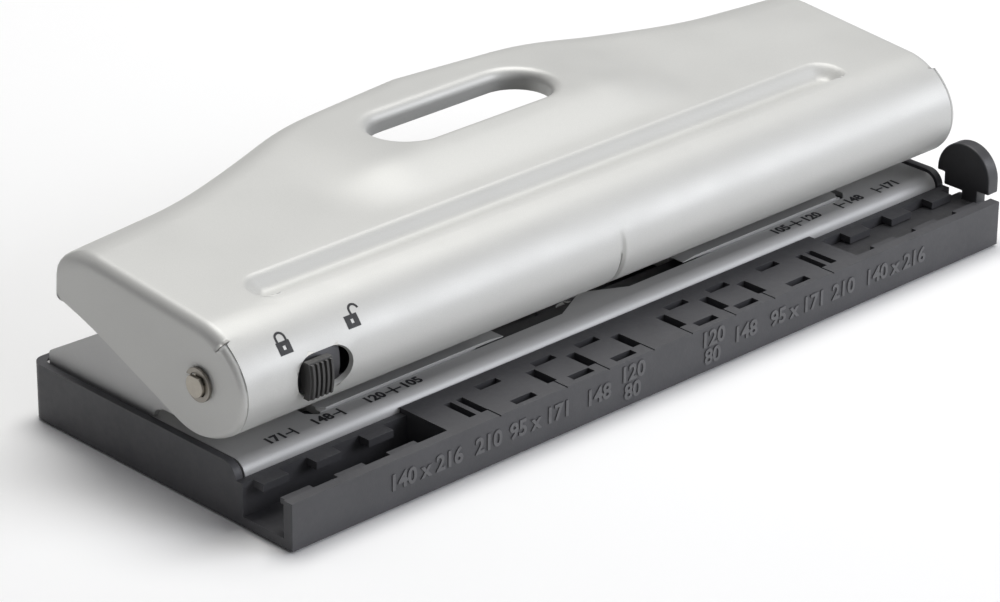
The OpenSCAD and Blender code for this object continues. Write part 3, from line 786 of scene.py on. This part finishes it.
RAISED_SIZE = 4.9 * MM
RAISED_DEPTH = 0.24 * MM
RAISED_BOLD = 0.14 * MM
PRINT_SIZE = 3.5 * MM
PRINT_BOLD = 0.13 * MM
INK = 0.03 * MM
INK_GAP = 0.005 * MM
MARK_Y = FRONT_Y + 20.4 * MM
MARK_HALF = 1.6 * MM
MARK_ARM = 2.1 * MM
LABEL_GAP = 2.7 * MM
RAISED = ((70, "140 x 216"), (53, "210"), (38.5, "95 x 171"), (22, "148"), (12, "120\n80"))
PRINTED = ((86.5, "171", ""), (74, "148", ""), (60, "120", "105"))


def raised_numerals():
    """The page heights in millimetres, raised on the front wall."""
    for x, words in RAISED:
        for side in (-1, 1):
            name = f"raised_{words.split()[-1]}_{'left' if side < 0 else 'right'}"
            label = text_mesh(name, words, RAISED_SIZE, RAISED_DEPTH, RAISED_BOLD)
            height = 4.9 * MM if "\n" not in words else 5.1 * MM
            label.matrix_world = Matrix.Translation(
                (side * x * MM, FRONT_Y + 0.02 * MM, WALL_TOP - height)
            ) @ Matrix.Rotation(math.pi / 2, 4, "X")
            # the lighter raised plastic on the numerals is a painted highlight
            set_material(label, MATERIALS["raised_plastic"])
            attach(label, "base")


def ink_strokes(name, strokes, place, body):
    """Thin printed strokes, each a box from one flat point to another, as one mesh."""
    mesh = bmesh.new()
    for (x0, y0), (x1, y1), width in strokes:
        a, b = Vector((x0, y0)), Vector((x1, y1))
        pieces = max(2, int((b - a).length / (0.4 * MM)))
        side = Vector((a.y - b.y, b.x - a.x)).normalized() * width / 2
        rows = []
        for i in range(pieces + 1):
            p = a.lerp(b, i / pieces)
            rows.append([place(p + side, 0.0), place(p + side, 1.0), place(p - side, 1.0),
                         place(p - side, 0.0)])
        add_strip(mesh, rows, closed=True)
        for end in (rows[0], rows[-1]):
            mesh.faces.new([mesh.verts.new(p) for p in end])
    obj = finish_mesh(name, mesh)
    for polygon in obj.data.polygons:
        polygon.use_smooth = False
    set_material(obj, MATERIALS["ink"])
    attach(obj, body)


def deck_marks():
    """Black page marks along the deck's front edge, with their numerals."""

    def on_deck(p, top):
        return Vector((p.x, p.y, DECK_TOP + INK_GAP + INK * top))

    for x, outer, inner in PRINTED:
        for side in (-1, 1):
            end = "left" if side < 0 else "right"
            at = side * x * MM
            labels = [(outer, side)] + ([(inner, -side)] if inner else [])
            strokes = [((at, MARK_Y - MARK_HALF), (at, MARK_Y + MARK_HALF), 0.5 * MM)]
            for words, way in labels:
                strokes.append(((at, MARK_Y), (at + way * MARK_ARM, MARK_Y), 0.45 * MM))
                label = text_mesh(f"page_height_{words}_{end}", words, PRINT_SIZE, INK / 2, PRINT_BOLD)
                shift = LABEL_GAP + mark_width(label) / 2
                label.matrix_world = Matrix.Translation(
                    (at + way * shift, MARK_Y, DECK_TOP + INK_GAP + INK / 2)
                )
                set_material(label, MATERIALS["ink"])
                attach(label, "base")
            ink_strokes(f"page_mark_{outer}_{end}", strokes, on_deck, "base")


PADLOCK_TURN = math.radians(137)
PADLOCK_W = 3.3 * MM
PADLOCK_H = 2.7 * MM
KEYHOLE_HALF = 0.35 * MM
BOW_R = 1.1 * MM
BOW_LINE = 0.5 * MM
BOW_LIFT = 0.8 * MM
BOW_SHIFT = 1.5 * MM


def padlock(name, x, opened):
    """A printed padlock on the roll, shut or open."""
    centre = roll_length(PADLOCK_TURN)
    strokes = []
    rows = 6
    width = PADLOCK_H / rows * 1.06
    for i in range(rows):
        y = centre - PADLOCK_H * (i + 0.5) / rows
        if i in (2, 3):
            for side in (-1, 1):
                strokes.append(((x + side * KEYHOLE_HALF, y), (x + side * PADLOCK_W / 2, y), width))
        else:
            strokes.append(((x - PADLOCK_W / 2, y), (x + PADLOCK_W / 2, y), width))
    bow_x = x + (BOW_SHIFT if opened else 0)
    steps = 12
    bow = []
    for i in range(steps + 1):
        a = math.pi * i / steps
        bow.append((bow_x + BOW_R * math.cos(a), centre + BOW_LIFT + BOW_R * math.sin(a)))
    strokes += [(a, b, BOW_LINE) for a, b in zip(bow, bow[1:])]
    legs = [bow[-1]] if opened else [bow[0], bow[-1]]
    for leg in legs:
        strokes.append((leg, (leg[0], centre - 0.05 * MM), BOW_LINE))

    def on_roll(p, top):
        return on_sheet(p.x, p.y, (0.006 + 0.03 * top) * MM)

    ink_strokes(name, strokes, on_roll, "handle")


# ---------- light, floor and camera ----------

CAMERA_AZIMUTH = math.radians(-44.183)
CAMERA_ELEVATION = math.radians(25.151)
CAMERA_ROLL = math.radians(0.447)
CAMERA_PLACE = Vector((-0.55799, -0.56279, 0.37829))
CAMERA_LENS = 147.43
WORLD_STRENGTH = 0.66
FLOOR_HALF = 3.0


def add_camera():
    data = bpy.data.cameras.new("camera")
    data.sensor_width = 36
    data.lens = CAMERA_LENS
    data.clip_start = 0.01
    data.clip_end = 50
    camera = bpy.data.objects.new("camera", data)
    level = math.cos(CAMERA_ELEVATION)
    back = Vector((math.sin(CAMERA_AZIMUTH) * level, -math.cos(CAMERA_AZIMUTH) * level,
                   math.sin(CAMERA_ELEVATION)))
    right = (-back).cross(Vector((0, 0, 1))).normalized()
    up = right.cross(-back)
    c, s = math.cos(CAMERA_ROLL), math.sin(CAMERA_ROLL)
    turned_right = c * right + s * up
    turned_up = c * up - s * right
    turn = Matrix((turned_right, turned_up, back)).transposed()
    camera.matrix_world = Matrix.Translation(CAMERA_PLACE) @ turn.to_4x4()
    bpy.context.scene.collection.objects.link(camera)
    bpy.context.scene.camera = camera


def area_light(name, place, target, size, power, color=(1, 1, 1)):
    data = bpy.data.lights.new(name, "AREA")
    data.shape = "RECTANGLE"
    data.size, data.size_y = size
    data.energy = power
    data.color = color
    light = bpy.data.objects.new(name, data)
    light.location = place
    aim = Vector(target) - Vector(place)
    light.rotation_euler = aim.to_track_quat("-Z", "Y").to_euler()
    bpy.context.scene.collection.objects.link(light)


def two_tones(nodes, near, near_color, far, far_color):
    """A colour ramp between two tones."""
    node = nodes.new("ShaderNodeValToRGB")
    for element, place, color in zip(node.color_ramp.elements, (near, far), (near_color, far_color)):
        element.position = place
        element.color = (*color, 1)
    return node


def add_room():
    """The surroundings: pale low down, greyer above and dark towards both ends."""
    world = bpy.data.worlds.new("studio")
    world.use_nodes = True
    nodes, links = world.node_tree.nodes, world.node_tree.links
    coord = nodes.new("ShaderNodeTexCoord")
    split = nodes.new("ShaderNodeSeparateXYZ")
    height = two_tones(nodes, 0.1, (1.0, 1.0, 1.0), 0.75, (0.38, 0.38, 0.4))
    ends = two_tones(nodes, 0.3, (1.0, 1.0, 1.0), 0.7, (0.1, 0.1, 0.11))
    length = nodes.new("ShaderNodeMath")
    length.operation = "ABSOLUTE"
    room = nodes.new("ShaderNodeMix")
    room.data_type = "RGBA"
    room.blend_type = "MULTIPLY"
    room.inputs["Factor"].default_value = 1
    links.new(coord.outputs["Generated"], split.inputs["Vector"])
    links.new(split.outputs["Z"], height.inputs["Fac"])
    links.new(split.outputs["X"], length.inputs[0])
    links.new(length.outputs["Value"], ends.inputs["Fac"])
    links.new(height.outputs["Color"], room.inputs["A"])
    links.new(ends.outputs["Color"], room.inputs["B"])
    links.new(room.outputs["Result"], nodes["Background"].inputs["Color"])
    nodes["Background"].inputs["Strength"].default_value = WORLD_STRENGTH
    bpy.context.scene.world = world


def add_floor():
    mesh = bmesh.new()
    corners = ((-FLOOR_HALF, -FLOOR_HALF), (FLOOR_HALF, -FLOOR_HALF), (FLOOR_HALF, FLOOR_HALF),
               (-FLOOR_HALF, FLOOR_HALF))
    mesh.faces.new([mesh.verts.new((x, y, 0)) for x, y in corners])
    floor = finish_mesh("floor", mesh)
    mat, nodes, links, shader = new_material("floor", (0.95, 0.95, 0.95), 0.0, 0.6)
    pale = spread(nodes, links, noise(nodes, links, 3, 2), 0, 1)
    tint(nodes, links, shader, pale, (0.945, 0.945, 0.945), (0.955, 0.955, 0.955))
    set_material(floor, mat)


def add_studio():
    """One soft light above, one from the front right, a pale floor and the room."""
    aim = (0, 0, 0.02)
    area_light("top", (0.25, 0.2, 1.0), aim, (0.8, 0.6), 9.5, (1, 0.995, 0.975))
    area_light("front", (0.7, -0.85, 0.5), aim, (0.8, 0.5), 7, (0.92, 0.94, 1))
    add_room()
    add_floor()


bpy.context.scene.view_settings.view_transform = "Standard"
add_camera()
add_studio()
dress_nodes()
handle_sheet()
raised_numerals()
deck_marks()
padlock("padlock_shut", KNOB_X - 5.7 * MM, False)
padlock("padlock_open", KNOB_X + 11.9 * MM, True)
